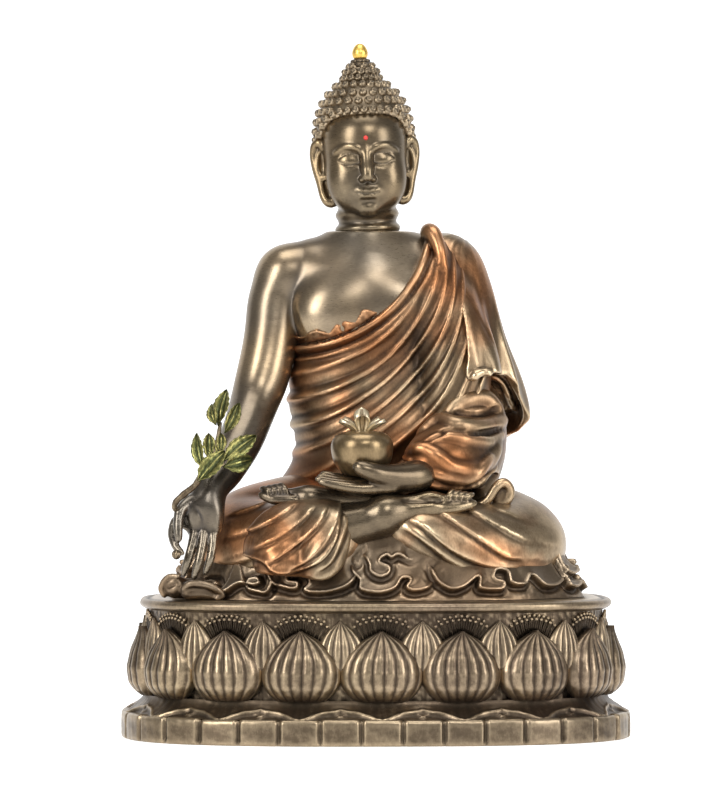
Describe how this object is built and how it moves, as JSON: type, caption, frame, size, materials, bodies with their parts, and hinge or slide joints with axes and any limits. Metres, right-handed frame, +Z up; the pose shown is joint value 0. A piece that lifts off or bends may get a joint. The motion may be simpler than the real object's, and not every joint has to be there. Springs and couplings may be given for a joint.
{
  "type": "seated buddha statue",
  "caption": "Seated robed healing figure with a bowl in its lap and a sprig of leaves in its lowered hand, on an oval lotus pedestal.",
  "frame": {"origin": "centre of the oval base on the surface that the statue stands on, which is also the bottom centre of the bounding box", "axes": "+Z up, the figure faces -Y, +X is the figure's own left"},
  "size_m": [0.205, 0.147, 0.28],
  "materials": {
    "dark_bronze": "satin cold-cast bronze, dark brown to blue-grey patina with rubbed golden highlights",
    "copper_bronze": "satin cold-cast bronze with a coppery red-brown wash, dark in the folds and bright on the edges",
    "antique_bronze": "antique bronze, brushed and rubbed bright on raised edges, dark in recesses",
    "hair_bronze": "dark bronze curls with rubbed highlights",
    "polished_bronze": "smooth, rather glossy bronze",
    "pale_brass": "pale rubbed brass",
    "gilt": "bright gold paint, satin",
    "red_enamel": "glossy red paint",
    "leaf_green": "translucent green paint rubbed back to gold on the ribs",
    "felt": "black felt",
    "board": "plain board",
    "steel": "plain zinc-plated steel"
  },
  "bodies": {
    "root": {"bare_chest_section": "dark_bronze", "base_stud_left": "steel", "base_stud_right": "steel", "brow_jewel": "red_enamel", "chest_dowel": "steel", "closing_plate": "board", "crown_collar": "hair_bronze", "crown_jewel": "gilt", "deck_plate": "antique_bronze", "felt_pad": "felt", "forearm_sleeve": "copper_bronze", "front_foot": "dark_bronze", "fruit_leaf_crown": "pale_brass", "giving_arm": "dark_bronze", "giving_hand": "dark_bronze", "hair_cap": "hair_bronze", "head_section": "dark_bronze", "lap_hand": "dark_bronze", "leg_section": "copper_bronze", "lotus_petal_ring": "antique_bronze", "medicine_bowl": "polished_bronze", "myrobalan_fruit": "polished_bronze", "neck_dowel": "steel", "pedestal_drum": "antique_bronze", "plinth_block_band": "antique_bronze", "rear_foot": "dark_bronze", "robe_front_end": "copper_bronze", "robed_trunk_section": "copper_bronze", "seat_hem": "copper_bronze", "shoulder_dowel": "steel", "shoulder_drape": "copper_bronze", "sprig_leaf_1": "leaf_green", "sprig_leaf_2": "leaf_green", "sprig_leaf_3": "leaf_green", "sprig_leaf_4": "leaf_green", "sprig_leaf_5": "leaf_green", "sprig_leaf_6": "leaf_green", "sprig_stem": "pale_brass", "stamen_band": "antique_bronze", "stud_nut_left": "steel", "stud_nut_right": "steel", "stud_washer_left": "steel", "stud_washer_right": "steel", "turned_down_petal_ring": "antique_bronze", "waist_dowel": "steel", "wrist_dowel": "steel"}
  },
  "joints": []
}
